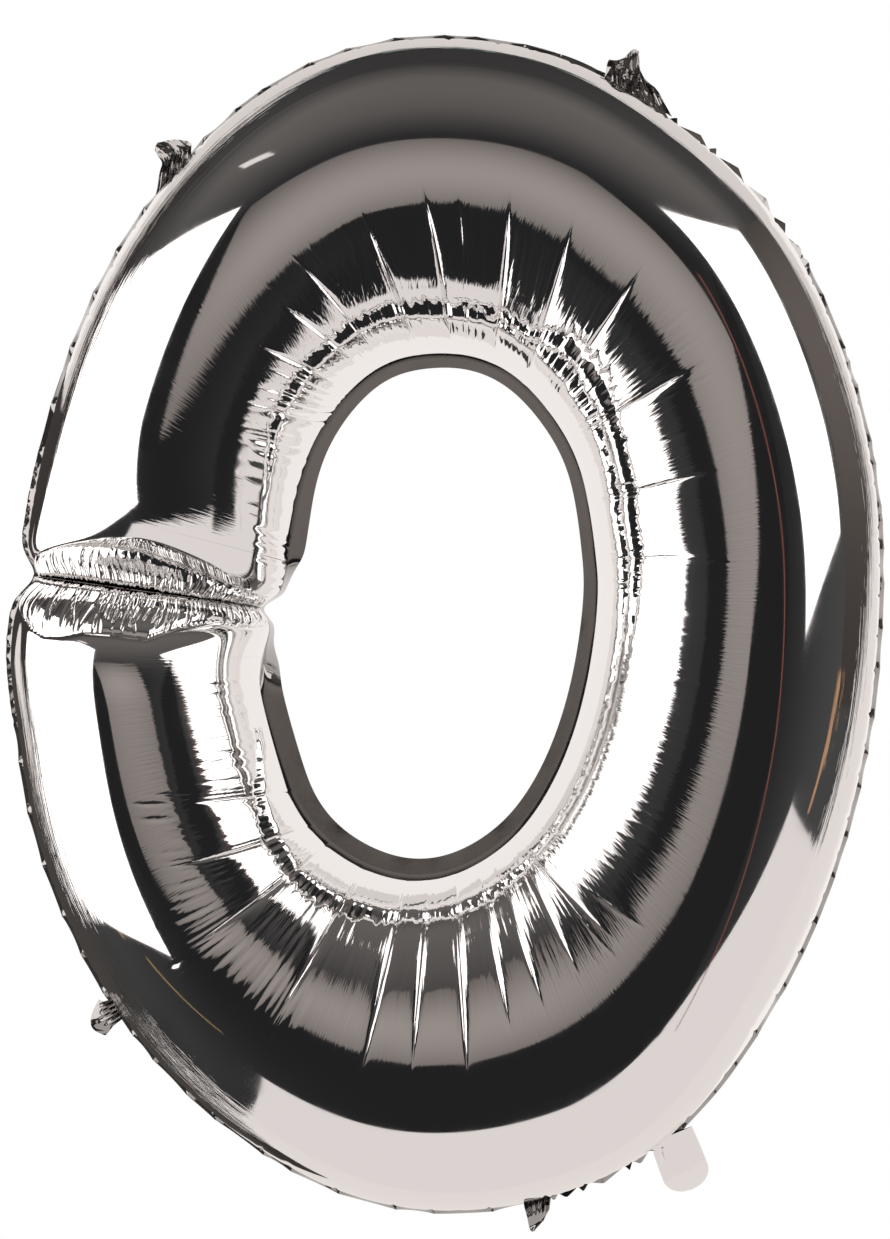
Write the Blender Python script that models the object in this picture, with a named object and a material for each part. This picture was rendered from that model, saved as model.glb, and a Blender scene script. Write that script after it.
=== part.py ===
"""A letter balloon of silver foil, in the shape of the letter O.

Two sheets of foil are welded together along the outer edge, around the hole of the
letter and across the left-hand stroke. Air swells them into a round tube that is bent
into the letter. The cross weld holds the two sheets together, so the tube ends there
in two round lobes that face each other over a deep, narrow valley. Above the weld the
tube grows thinner on its way there.

Metres, +Z up. The reader of the letter stands at -Y. The origin is at the middle of
the letter, in the plane of the seams.
"""

import math

import bmesh
import bpy
import numpy as np
from mathutils import Matrix, Vector

MM = 0.001

# Ribs of the letter, in millimetres: a point of the hole's edge and the point of the
# outer edge across the stroke from it, counterclockwise from the right-hand side.
RIBS = (
    ((100.3, 17.1), (320.6, 17.1)),
    ((99.2, 53.4), (315.5, 113.0)),
    ((92.3, 98.5), (287.9, 213.4)),
    ((77.0, 135.5), (234.8, 307.9)),
    ((50.2, 167.6), (161.4, 373.3)),
    ((19.6, 183.6), (85.1, 414.8)),
    ((-10.9, 185.4), (0.0, 429.3)),
    ((-40.0, 177.8), (-82.2, 416.2)),
    ((-65.4, 156.7), (-159.2, 370.4)),
    ((-85.1, 126.1), (-223.2, 299.2)),
    ((-95.5, 92.1), (-269.7, 213.4)),
    ((-101.8, 52.9), (-299.5, 115.2)),
    ((-111.7, 8.4), (-313.1, 36.7)),
    ((-120.1, -24.9), (-320.3, -22.0)),
    ((-115.9, -57.8), (-314.3, -81.1)),
    ((-105.4, -94.9), (-301.7, -151.6)),
    ((-92.8, -126.9), (-268.2, -237.4)),
    ((-70.5, -152.0), (-207.2, -325.3)),
    ((-40.0, -167.6), (-117.0, -397.3)),
    ((-10.9, -170.5), (-22.8, -429.3)),
    ((16.7, -161.8), (72.7, -421.8)),
    ((43.6, -142.1), (160.0, -380.6)),
    ((64.7, -113.8), (226.8, -302.8)),
    ((80.7, -78.9), (275.5, -209.8)),
    ((93.3, -33.6), (309.1, -95.9)),
)
WELD_RIB = 12

HALF_DEPTH = 105 * MM
CREST_SHIFT = 0.07
WALL = 1.6 * MM
SEAM_THICK = 1.2 * MM
GAP = 0.3 * MM
OUTER_FLANGE = 6.0 * MM
HOLE_FLANGE = 9.6 * MM
HOLE_FLANGE_SWING = 2.8 * MM
SEAM_LAP = 4.0 * MM

LOBE_LENGTH = (82 * MM, 112 * MM)
LOBE_ROUNDNESS = 2.6
VALLEY_FLOOR = 1.0 * MM
VALLEY_WALL = 0.55
VALLEY_WALL_RISE = 0.8 * MM
VALLEY_WALL_REACH = 10 * MM
TAPER = 0.36
TAPER_LENGTH = 300 * MM
NOTCH_DEPTH = (12 * MM, 13 * MM)
NOTCH_REACH = (11 * MM, 12 * MM)
WELD_WIDTH = 12 * MM

STATION_STEP = 17 * MM
NEAR_WELD = (0, 1.2, 3, 6, 10.5, 17, 25, 35, 47, 61, 77)
SECTION_SEGMENTS = 12

TAB_WIDTH = 25 * MM
TAB_LENGTH = 21 * MM
TAB_CORNER = 7 * MM
EYELET = 4 * MM
EYELET_HEIGHT = 12 * MM
ROOT_GAP = 0.45 * MM
TABS = {
    "tab_top_left": (-199, 332),
    "tab_top_right": (141, 389),
    "tab_bottom_left": (-243, -279),
    "tab_bottom": (62, -424),
}

NECK_ROOT = (166 * MM, -376 * MM)
NECK_END = (177 * MM, -404 * MM)
NECK_WIDTH = 35 * MM
PLY_THICK = 0.7 * MM
VALVE_WIDTH = 22 * MM
VALVE_THICK = 0.4 * MM
VALVE_REACH = 3 * MM
NECK_FLARE = 1.25

FOIL_COLOUR = (0.80, 0.77, 0.75)
FOIL_ROUGHNESS = 0.05
FILM_COLOUR = (0.86, 0.84, 0.82)
FILM_ROUGHNESS = 0.3

FINE_STEPS = 4000


def through(points, at):
    """The closed smooth cubic curve through points, read at the numbers in at."""
    points = np.array(points, float)
    count = len(points)
    blend = 4 * np.eye(count) + np.roll(np.eye(count), 1, 1) + np.roll(np.eye(count), -1, 1)
    slopes = np.linalg.solve(blend, 3 * (np.roll(points, -1, 0) - np.roll(points, 1, 0)))
    at = np.asarray(at, float) % count
    first = np.floor(at).astype(int) % count
    last = (first + 1) % count
    t = (at - np.floor(at))[:, None]
    return (
        (2 * t**3 - 3 * t**2 + 1) * points[first]
        + (t**3 - 2 * t**2 + t) * slopes[first]
        + (3 * t**2 - 2 * t**3) * points[last]
        + (t**3 - t**2) * slopes[last]
    )


def measured_round():
    """Numbers around the ring of ribs, and how far each is from the cross weld."""
    at = np.linspace(0, len(RIBS), FINE_STEPS + 1)
    hole = through([rib[0] for rib in RIBS], at) * MM
    outer = through([rib[1] for rib in RIBS], at) * MM
    steps = np.linalg.norm(np.diff((hole + outer) / 2, axis=0), axis=1)
    along = np.concatenate([[0], np.cumsum(steps)])
    return at, along - np.interp(WELD_RIB, at, along), along[-1]


AT, FROM_WELD, ROUND = measured_round()


def stations():
    """Distances from the cross weld along the stroke: close together by the weld."""
    near = [d * MM for d in NEAR_WELD]
    left = ROUND - 2 * near[-1]
    count = round(left / STATION_STEP)
    far = [near[-1] + left * k / count for k in range(1, count)]
    return np.array([-d for d in near[:0:-1]] + near + far)


class Stroke:
    """The letter's edges at some distances from the cross weld, along the stroke."""

    def __init__(self, distance):
        wrapped = (distance - FROM_WELD[0]) % ROUND + FROM_WELD[0]
        at = np.interp(wrapped, FROM_WELD, AT)
        self.along = (distance + ROUND / 2) % ROUND - ROUND / 2
        self.from_weld = np.abs(self.along)
        self.hole = through([rib[0] for rib in RIBS], at) * MM
        self.outer = through([rib[1] for rib in RIBS], at) * MM
        across = self.outer - self.hole
        self.across = across / np.linalg.norm(across, axis=1)[:, None]
        for edge, side, depth, reach in (
            (self.hole, 1, NOTCH_DEPTH[0], NOTCH_REACH[0]),
            (self.outer, -1, NOTCH_DEPTH[1], NOTCH_REACH[1]),
        ):
            notch = side * depth * np.exp(-((self.from_weld / reach) ** 2))
            edge += notch[:, None] * self.across
        turned = self.across @ np.array([1.0, 1.0]) / math.sqrt(2)
        self.hole_flange = HOLE_FLANGE - HOLE_FLANGE_SWING * turned

    def line(self, from_hole=None, from_outer=None):
        """Points a distance inwards of the tube's inner or outer rim, in the plane."""
        if from_hole is not None:
            reach = self.hole_flange + from_hole
            return self.hole + reach[:, None] * self.across
        return self.outer - (OUTER_FLANGE + from_outer) * self.across


def lobe(stroke, inset):
    """How full the tube is, from 0 at the weld to 1, an inset inside its lobes' ends."""
    away = np.maximum(stroke.from_weld - inset - VALLEY_FLOOR, 0)
    length = np.where(stroke.along < 0, LOBE_LENGTH[1], LOBE_LENGTH[0])
    blunt = 1 - (1 - np.minimum(away / length, 1)) ** LOBE_ROUNDNESS
    blunt = blunt ** (1 / LOBE_ROUNDNESS)
    wall = VALLEY_WALL * (1 - np.exp(-away / VALLEY_WALL_RISE))
    wall *= np.exp(-((away / VALLEY_WALL_REACH) ** 2))
    full = blunt + (1 - blunt) * wall
    thin = TAPER * np.clip(1 + stroke.along / TAPER_LENGTH, 0, 1) ** 2
    return full * (1 - np.where(stroke.along < 0, thin, 0))


def sheet_section(stroke, inset):
    """One face of a foil sheet as rows of points, from the hole's rim to the outer."""
    base = SEAM_THICK / 2 + GAP
    full = lobe(stroke, inset)
    depth = (HALF_DEPTH - WALL - base) * full + (WALL - inset)
    near = stroke.line(from_hole=inset)
    far = stroke.line(from_outer=inset)
    flat = 0.35 + 0.65 * np.minimum(1, 3 * full)
    rows = []
    for step in range(SECTION_SEGMENTS + 1):
        angle = math.pi * step / SECTION_SEGMENTS
        part = (1 - math.cos(angle)) / 2 + CREST_SHIFT * math.sin(angle) ** 2
        place = near + (far - near) * part
        rise = base + depth * max(math.sin(angle), 0) ** flat
        rows.append(np.column_stack([place[:, 0], rise, place[:, 1]]))
    return rows


def closed_ring(name, rows):
    """A solid ring: a flat grid whose two pairs of ends are folded round and joined."""
    loop = np.array(rows + rows[:1])
    loop = np.concatenate([loop, loop[:, :1]], axis=1)
    across, around = loop.shape[:2]
    bm = bmesh.new()
    bmesh.ops.create_grid(bm, x_segments=across - 1, y_segments=around - 1, size=1)
    for vert in bm.verts:
        row = round((vert.co.x + 1) / 2 * (across - 1))
        column = round((vert.co.y + 1) / 2 * (around - 1))
        vert.co = Vector(loop[row, column])
    bmesh.ops.remove_doubles(bm, verts=bm.verts, dist=1e-7)
    return finished(name, bm)


def finished(name, bm):
    """Turn a bmesh into a named object with its faces pointing outwards."""
    bmesh.ops.recalc_face_normals(bm, faces=bm.faces)
    bmesh.ops.triangulate(bm, faces=bm.faces)
    if bm.calc_volume(signed=True) < 0:
        bmesh.ops.reverse_faces(bm, faces=bm.faces)
    mesh = bpy.data.meshes.new(name)
    bm.to_mesh(mesh)
    bm.free()
    mesh.shade_smooth()
    mesh.set_sharp_from_angle(angle=math.radians(35))
    thing = bpy.data.objects.new(name, mesh)
    bpy.context.collection.objects.link(thing)
    return thing


def material(name, colour, roughness, metallic):
    """A plain Principled material."""
    made = bpy.data.materials.new(name)
    made.use_nodes = True
    shader = made.node_tree.nodes["Principled BSDF"]
    shader.inputs["Base Color"].default_value = (*colour, 1)
    shader.inputs["Roughness"].default_value = roughness
    shader.inputs["Metallic"].default_value = metallic
    return made


def foil_sheet(name, side):
    """Half of the envelope: the wall between an outer and an inner face."""
    stroke = Stroke(stations())
    outside = sheet_section(stroke, 0)
    inside = sheet_section(stroke, WALL)
    rows = outside + inside[::-1]
    for row in rows:
        row[:, 1] *= side
    return closed_ring(name, rows)


def plate_ring(name, near, far):
    """A flat ring in the plane of the seams, between two lines."""
    half = SEAM_THICK / 2
    corners = ((near, -half), (far, -half), (far, half), (near, half))
    rows = []
    for line, level in corners:
        rows.append(np.column_stack([line[:, 0], np.full(len(line), level), line[:, 1]]))
    return closed_ring(name, rows)


def outer_seam():
    """The weld and its free edge around the outside of the letter."""
    stroke = Stroke(stations())
    return plate_ring("outer_seam", stroke.line(from_outer=SEAM_LAP), stroke.outer)


def hole_seam():
    """The weld and its free edge around the hole of the letter."""
    stroke = Stroke(stations())
    return plate_ring("hole_seam", stroke.hole, stroke.line(from_hole=SEAM_LAP))


def plate(name, outline, thickness, level=0):
    """A flat plate along the plane of the seams, with its middle at a level."""
    bm = bmesh.new()
    verts = [bm.verts.new((x, level - thickness / 2, z)) for x, z in outline]
    face = bm.faces.new(verts)
    grown = bmesh.ops.extrude_face_region(bm, geom=[face])
    top = [part for part in grown["geom"] if isinstance(part, bmesh.types.BMVert)]
    bmesh.ops.translate(bm, verts=top, vec=(0, thickness, 0))
    return finished(name, bm)


def cross_weld():
    """The strip across the left-hand stroke where the two sheets are welded."""
    stroke = Stroke(np.array([0.0]))
    across = stroke.across[0]
    side = np.array([-across[1], across[0]]) * WELD_WIDTH / 2
    start = stroke.line(from_hole=SEAM_LAP + GAP)[0] + across * GAP
    end = stroke.line(from_outer=SEAM_LAP + GAP)[0] - across * GAP
    corners = [start - side, end - side, end + side, start + side]
    return plate("cross_weld", corners, SEAM_THICK)


def edge_near(x, z):
    """The outer edge's point nearest to a place, its outward direction and its run."""
    stroke = Stroke(FROM_WELD[:-1])
    nearest = np.argmin(np.linalg.norm(stroke.outer - np.array([x, z]), axis=1))
    before, after = stroke.outer[nearest - 2], stroke.outer[(nearest + 2) % FINE_STEPS]
    run = (after - before) / np.linalg.norm(after - before)
    return stroke.outer[nearest], np.array([run[1], -run[0]]), run


def tab(name, x, z):
    """A tab to hang the letter by: a flat plate with an eyelet."""
    root, out, run = edge_near(x * MM, z * MM)
    half = TAB_WIDTH / 2
    outline = [(-half, ROOT_GAP), (half, ROOT_GAP)]
    for centre, start in ((half - TAB_CORNER, 0), (TAB_CORNER - half, 90)):
        for turn in (0, 30, 60, 90):
            angle = math.radians(start + turn)
            outline.append(
                (
                    centre + TAB_CORNER * math.cos(angle),
                    TAB_LENGTH - TAB_CORNER + TAB_CORNER * math.sin(angle),
                )
            )
    solid = plate(name, [root + run * a + out * b for a, b in outline], SEAM_THICK)
    bm = bmesh.new()
    bmesh.ops.create_cone(
        bm,
        segments=16,
        radius1=EYELET / 2,
        radius2=EYELET / 2,
        depth=10 * SEAM_THICK,
        cap_ends=True,
    )
    bmesh.ops.rotate(bm, verts=bm.verts, matrix=Matrix.Rotation(math.pi / 2, 3, "X"))
    place = root + out * EYELET_HEIGHT
    bmesh.ops.translate(bm, verts=bm.verts, vec=(place[0], 0, place[1]))
    cutter = finished(name + "_eyelet", bm)
    cutter.hide_render = True
    cutter.display_type = "WIRE"
    punch = solid.modifiers.new("eyelet", "BOOLEAN")
    punch.operation = "DIFFERENCE"
    punch.object = cutter
    return solid


def neck_outline(width, reach):
    """The outline of a ply of the neck: its root follows the letter's edge."""
    root = edge_near(*NECK_ROOT)[0]
    end = np.array(NECK_END)
    axis = (end - root) / np.linalg.norm(end - root)
    side = np.array([-axis[1], axis[0]])
    half = width / 2
    outline = []
    for across in (-1, -0.5, 0, 0.5, 1):
        nearest, outward, _ = edge_near(*(root + side * across * half * NECK_FLARE))
        outline.append(nearest + outward * ROOT_GAP)
    tip = end + axis * ((NECK_WIDTH - width) / 2 + reach)
    for turn in range(0, 181, 20):
        angle = math.radians(turn)
        outline.append(tip + half * (side * math.cos(angle) + axis * math.sin(angle)))
    return outline


def fill_neck():
    """The flat tail that the letter is filled through: two plies around a valve."""
    ply = neck_outline(NECK_WIDTH, 0)
    level = VALVE_THICK / 2 + GAP + PLY_THICK / 2
    valve = neck_outline(VALVE_WIDTH, VALVE_REACH)
    return (
        plate("neck_front_ply", ply, PLY_THICK, -level),
        plate("neck_back_ply", ply, PLY_THICK, level),
        plate("valve_film", valve, VALVE_THICK),
    )


def main():
    for old in list(bpy.data.objects):
        bpy.data.objects.remove(old, do_unlink=True)
    foil = (FOIL_COLOUR, FOIL_ROUGHNESS, 1.0)
    film = (FILM_COLOUR, FILM_ROUGHNESS, 0.0)
    front_ply, back_ply, valve = fill_neck()
    made = [
        foil_sheet("front_sheet", -1),
        foil_sheet("back_sheet", 1),
        outer_seam(),
        hole_seam(),
        cross_weld(),
        front_ply,
        back_ply,
    ]
    made += [tab(name, *place) for name, place in TABS.items()]
    for thing in made:
        thing.data.materials.append(material(thing.name + "_foil", *foil))
    valve.data.materials.append(material("valve_film_plastic", *film))


main()
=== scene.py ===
# %% [markdown]
# # A silver letter balloon
#
# The object is a foil balloon in the shape of the letter O. On the real one two sheets of
# metallised nylon film are welded together round the outer edge and round the hole, and once
# more straight across the left-hand stroke. Air swells the sheets into a tube. Because the film
# can't stretch, the inner side of the tube has more film than it needs and folds it away in
# sharp creases.
#
# A mirror has no colour of its own. What the eye reads as silver is the room, bent by the
# shape, so this lesson builds three things with the same care: the room, the smooth swollen
# form, and the creases that break the room's picture up.

import math

import bmesh
import bpy
import numpy as np
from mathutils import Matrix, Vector


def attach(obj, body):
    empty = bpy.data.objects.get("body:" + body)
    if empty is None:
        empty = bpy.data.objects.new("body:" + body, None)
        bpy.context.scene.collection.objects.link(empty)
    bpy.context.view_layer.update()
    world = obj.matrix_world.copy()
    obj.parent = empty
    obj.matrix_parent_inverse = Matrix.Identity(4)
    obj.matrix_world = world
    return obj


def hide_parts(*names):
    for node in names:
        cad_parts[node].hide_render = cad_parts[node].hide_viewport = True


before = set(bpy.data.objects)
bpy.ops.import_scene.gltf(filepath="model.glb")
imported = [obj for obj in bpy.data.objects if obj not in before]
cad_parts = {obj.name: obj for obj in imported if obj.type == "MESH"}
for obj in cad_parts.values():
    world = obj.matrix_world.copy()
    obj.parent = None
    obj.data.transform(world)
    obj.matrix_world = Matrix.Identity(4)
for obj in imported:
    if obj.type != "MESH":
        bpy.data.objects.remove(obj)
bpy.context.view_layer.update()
MM = 0.001

# %% [markdown]
# ## The camera
#
# The photograph was taken straight from the front. A portrait picture maps the sensor's 36 mm
# to its height, so the lens follows from how far away the camera stands and how tall the frame
# is where the letter hangs. The photograph's own scale gives that height: 1239 pixels of
# 0.727 mm.

# %% Camera
PIXEL = 0.727 * MM
FRAME_HEIGHT = 1239 * PIXEL
CAMERA_DISTANCE = 2.3
CAMERA_HEIGHT = 4 * PIXEL
SENSOR = 36.0

camera = bpy.data.objects.new("camera", bpy.data.cameras.new("camera"))
bpy.context.collection.objects.link(camera)
camera.location = (0, -CAMERA_DISTANCE, CAMERA_HEIGHT)
camera.rotation_euler = (math.pi / 2, 0, 0)
camera.data.sensor_width = SENSOR
camera.data.lens = SENSOR * CAMERA_DISTANCE / FRAME_HEIGHT
bpy.context.scene.camera = camera
bpy.context.scene.view_settings.view_transform = "Standard"
bpy.context.scene.view_settings.look = "None"
print("the lens is", round(camera.data.lens, 1), "mm")

# %% [markdown]
# ## Colours and nodes
#
# Colours are easier to compare with a photograph when they are written as the hex values that
# a picture editor shows. Shaders count light, not hex values, so one function turns them into
# linear numbers. A second one adds a node, gives it its settings and joins its inputs, and
# every material below is built with it. The film itself is neutral, so the faint warmth that
# its reflections have comes from the lamps: a third function gives the light that a thing of
# some colour sends out under them.

# %% Helpers for materials
def linear(code):
    """The linear red, green and blue of an sRGB hex colour such as E8E0DA."""
    parts = [int(code[k : k + 2], 16) / 255 for k in (0, 2, 4)]
    return [c / 12.92 if c <= 0.04045 else ((c + 0.055) / 1.055) ** 2.4 for c in parts]


def add(tree, kind, inputs=(), **settings):
    """Adds a shader node. inputs pairs a socket's name or number with what it gets.

    That is a value, another node's socket, or another node, which stands for its first socket.
    """
    node = tree.nodes.new("ShaderNode" + kind)
    for name, value in settings.items():
        setattr(node, name, value)
    for name, value in dict(inputs).items():
        if isinstance(value, bpy.types.Node):
            value = value.outputs[0]
        if isinstance(value, bpy.types.NodeSocket):
            tree.links.new(value, node.inputs[name])
        else:
            node.inputs[name].default_value = value
    return node


LIGHT_WARMTH = (0.91, 0.865, 0.85)


def lit_by(code):
    """The light that a thing of this colour sends out in the warm studio."""
    return (*(part * warm for part, warm in zip(linear(code), LIGHT_WARMTH)), 1)


def new_material(name):
    """An empty material and its node tree."""
    made = bpy.data.materials.new(name)
    made.use_nodes = True
    made.node_tree.nodes.clear()
    return made, made.node_tree


print("E8E0DA is", [round(c, 3) for c in linear("E8E0DA")])

# %% [markdown]
# ## The room that the foil mirrors
#
# The photograph shows a white studio, but the foil tells what stood round it: a tall white box
# light on the left and one on the right, a grey wall in front with a dark curtain and a flag
# before it, a warm dark ceiling, a pale floor that ends about a metre in front of the letter,
# and white paper close behind it. Dark cards behind the left-hand stroke are painted shade that
# darkens its outer side, a rail on top of the paper draws the thin line along the upper rim,
# and narrow strips give the few coloured lines.
# Each of these is a glowing card. Glowing cards give a mirror clean edges to show, without the
# noise that small lamps would bring. The camera sees none of them but the floor.
#
# What no card covers is the far room: the world shader gives it, dark below and in front, and
# a warm grey ceiling that grows dark towards the back. The camera itself sees plain white.

# %% World
CEILING = "62605E"
DARK_ROOM = "242527"
SIDE_LIGHT = "FFFDFA"
SIDE_GLOW = 0.05
# The ceiling has all its light ahead of the letter and 0.22 of it towards the back.
CEILING_FALL = {1: 0.17, 2: -0.22, 3: 0.22, 4: 1.0}
# How steeply a ray climbs, and how bright the ceiling is where it ends.
CEILING_STEPS = ((-1.0, 0.0), (0.30, 0.0), (0.42, 0.12), (0.57, 0.42), (0.72, 0.78), (0.90, 1.0))

world = bpy.data.worlds.new("studio")
bpy.context.scene.world = world
world.use_nodes = True
sky = world.node_tree
sky.nodes.clear()
way = add(sky, "TexCoord")
split = add(sky, "SeparateXYZ", {0: way.outputs["Generated"]})
height = add(sky, "MapRange", {0: split.outputs["Z"], 1: -1.0, 2: 1.0})
ramp = add(sky, "ValToRGB", {0: height})
while len(ramp.color_ramp.elements) < len(CEILING_STEPS):
    ramp.color_ramp.elements.new(0.5)
for element, (place, level) in zip(ramp.color_ramp.elements, CEILING_STEPS):
    element.position = (place + 1) / 2
    element.color = (level, level, level, 1)
ahead = add(sky, "MapRange", {0: split.outputs["Y"], **CEILING_FALL})
lit = add(sky, "Math", {0: ramp, 1: ahead}, operation="MULTIPLY")
aside = add(sky, "Math", {0: split.outputs["X"], 1: split.outputs["X"]}, operation="MULTIPLY")
glow = add(sky, "Math", {0: aside, 1: SIDE_GLOW}, operation="MULTIPLY")
ceiling = add(sky, "Background", {0: lit_by(CEILING), 1: lit})
dark = add(sky, "Background", {0: lit_by(DARK_ROOM), 1: 1.0})
sides = add(sky, "Background", {0: (*linear(SIDE_LIGHT), 1), 1: glow})
below = add(sky, "AddShader", {0: dark, 1: sides})
far_room = add(sky, "AddShader", {0: ceiling, 1: below})
paper_white = add(sky, "Background", {0: (*linear("FFFFFF"), 1), 1: 1.0})
ray = add(sky, "LightPath")
seen = add(sky, "MixShader", {0: ray.outputs["Is Camera Ray"], 1: far_room, 2: paper_white})
add(sky, "OutputWorld", {0: seen})
print("the ceiling brightens in", len(CEILING_STEPS), "steps")

# %% How a card is made
# Cuts keep a softened card's light smooth where its corners aren't square.
CARD_CUTS = 7


def placed(bm, name):
    """An object made of what bm holds."""
    mesh = bpy.data.meshes.new(name)
    bm.to_mesh(mesh)
    bm.free()
    thing = bpy.data.objects.new(name, mesh)
    bpy.context.collection.objects.link(thing)
    return thing


def card(name, colour, strength, corners, soften=None):
    """A flat glowing card between four corners, seen by the foil and not by the camera.

    soften holds a centre in the card's own square, how far the light reaches from it both
    ways, and how much is left beyond that.
    """
    bm = bmesh.new()
    bmesh.ops.create_grid(bm, x_segments=1, y_segments=1, size=1)
    a, b, c, d = (Vector(corner) for corner in corners)
    (x, y), (wide, high), rest = soften or ((0, 0), (1, 1), 1.0)
    spot = bm.verts.layers.float_vector.new("spot")
    for vert in bm.verts:
        s, t = (vert.co.x + 1) / 2, (vert.co.y + 1) / 2
        vert[spot] = Vector(((s - x) / wide, (t - y) / high, 0))
        vert.co = a.lerp(b, s).lerp(d.lerp(c, s), t)
    bmesh.ops.subdivide_edges(bm, edges=bm.edges, cuts=CARD_CUTS, use_grid_fill=True)
    thing = placed(bm, name)
    glow, tree = new_material(name + "_glow")
    if soften:
        here = add(tree, "Attribute", attribute_name="spot").outputs["Vector"]
        away = add(tree, "VectorMath", {0: here}, operation="LENGTH").outputs["Value"]
        fade = {0: away, 1: 0.0, 2: 1.0, 3: 1.0, 4: rest}
        soft = add(tree, "MapRange", fade, interpolation_type="SMOOTHSTEP")
        strength = add(tree, "Math", {0: soft, 1: strength}, operation="MULTIPLY")
    light = add(tree, "Emission", {0: lit_by(colour), 1: strength})
    add(tree, "OutputMaterial", {0: light})
    thing.data.materials.append(glow)
    thing.visible_camera = False
    return thing


print("a card is cut into", (CARD_CUTS + 1) ** 2, "faces")

# %% The pale floor
FLOOR_LEVEL = -1.35
FLOOR_EDGE = ((-0.8, -1.05), (0.5, -1.35), (1.6, -2.25), (4.1, -2.9))
FLOOR_BACK = ((-0.8, 4.4), (0.5, 4.4), (1.6, 4.4), (3.0, 4.4))

for strip in range(3):
    near, far = FLOOR_EDGE[strip : strip + 2], FLOOR_BACK[strip : strip + 2]
    corners = [(x, y, FLOOR_LEVEL) for x, y in (near[0], near[1], far[1], far[0])]
    floor = card("floor_" + str(strip + 1), "F0EEEE", 1.0, corners)
    floor.visible_camera = True
print("the floor lies", -FLOOR_LEVEL, "m below the letter's middle")

# %% The cards of the room
# Name, colour, strength, four corners, and where the light is softened.
CARDS = (
    # White paper behind, brighter where it fills the hole.
    ("paper_behind", "F4F2F0", 1.0,
        ((-0.95, 0.31, FLOOR_LEVEL), (2.6, 0.31, FLOOR_LEVEL), (0.62, 0.31, 0.12), (-0.7, 0.31, 0.12))),
    ("paper_above", "F4F2F0", 0.88,
        ((-0.7, 0.31, 0.12), (0.62, 0.31, 0.12), (0.66, 0.31, 0.85), (-0.47, 0.31, 0.85))),
    ("paper_in_the_hole", "FFFFFF", 1.06,
        ((-0.45, 0.305, -0.45), (0.45, 0.305, -0.45), (0.45, 0.305, 0.45), (-0.45, 0.305, 0.45))),
    # The two box lights.
    ("left_box_light", "FFFFFF", 1.9,
        ((-0.46, -0.66, -0.45), (-0.95, 0.3, -0.5), (-0.95, 0.3, 0.6), (-0.45, -0.62, 0.58))),
    ("right_box_light", "FFFFFF", 1.9,
        ((0.73, -0.68, -0.04), (1.0, -0.21, 0.12), (1.0, -0.21, 0.95), (0.5, -0.85, 0.74))),
    # In front: the wall, and what stands before it.
    ("grey_wall", "A5A09D", 1.0,
        ((-0.82, -1.65, -0.36), (0.8, -1.65, -0.12), (0.38, -1.65, 0.9), (-0.82, -1.65, 0.97)),
        ((0.55, 0.45), (1.1, 0.85), 0.3)),
    ("black_flag", DARK_ROOM, 1.0,
        ((0.12, -0.55, -0.6), (0.46, -0.62, -0.6), (0.42, -0.62, 0.45), (0.16, -0.55, 0.0))),
    ("dark_curtain", DARK_ROOM, 1.0,
        ((-1.0, -1.6, -0.4), (-0.36, -1.6, -0.4), (-0.56, -1.6, 0.3), (-0.86, -1.6, 1.0))),
    # The room's sides.
    ("right_side_wall", "6A6562", 1.0,
        ((1.9, -0.25, -0.3), (1.9, 1.5, -0.3), (1.9, 1.5, 1.7), (1.9, -0.25, 1.7)),
        ((0.5, 0.6), (3.0, 0.6), 0.4)),
    ("left_side_wall", "3E3B3A", 1.0,
        ((-1.5, 2.2, -0.1), (-1.5, 0.5, -0.1), (-1.5, 0.5, 1.7), (-1.5, 2.2, 1.7))),
    # A post and strips, seen as thin coloured lines.
    ("brown_post", "8A5A50", 1.0,
        ((0.5, -0.5, -0.6), (0.508, -0.5, -0.6), (0.292, -0.5, 0.35), (0.285, -0.5, 0.35))),
    ("brass_strip_left", "C8A070", 1.0,
        ((-2.2, -0.52, -1.2), (-1.84, -0.72, -1.2), (-1.86, -0.66, -1.2), (-2.18, -0.48, -1.2))),
    ("brass_strip_front", "A89468", 1.0,
        ((-1.6, -1.16, -1.2), (-0.92, -1.36, -1.2), (-0.92, -1.33, -1.2), (-1.58, -1.11, -1.2))),
    ("brass_strip_right", "C09878", 1.0,
        ((1.6, -0.42, -0.56), (1.6, -0.36, -0.56), (1.6, -0.14, -0.17), (1.6, -0.25, -0.17))),
    # A lamp overhead, and dark cards of painted shade behind the left-hand stroke, which darken its
    # outer side in the foil.
    ("ceiling_lamp", "F4F2F0", 1.0,
        ((-0.95, -0.42, 1.23), (-0.77, -0.66, 1.23), (-0.74, -0.84, 1.23), (-0.93, -0.6, 1.23))),
    ("painted_shade_left", "3A3836", 1.0,
        ((-0.95, 0.29, -0.72), (-0.2, 0.29, -0.72), (-0.2, 0.29, -0.42), (-0.95, 0.29, -0.42))),
    ("painted_shade_left_middle", "4A4846", 1.0,
        ((-0.62, 0.12, -0.47), (-0.15, 0.12, -0.47), (-0.3, 0.12, -0.03), (-0.41, 0.12, -0.03))),
    ("painted_shade_left_top", "403E3D", 1.0,
        ((-0.41, 0.12, -0.03), (-0.3, 0.12, -0.03), (-0.265, 0.12, 0.2), (-0.54, 0.12, 0.2))),
    ("teal_rail", "2C5458", 1.0,
        ((-0.47, 0.305, 0.85), (0.66, 0.305, 0.85), (0.67, 0.305, 0.872), (-0.46, 0.305, 0.872))),
)
for row in CARDS:
    card(*row)

# %% [markdown]
# ## The letter's measured lines
#
# The shape follows the same driving sizes as the solid model: pairs of points across the
# stroke, one on the hole's edge and one on the outer edge. A closed smooth curve runs through
# each set. Every place on the foil then has two numbers that a balloon maker would use too:
# how far along the stroke it lies from the cross weld, and how far round the tube.

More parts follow.
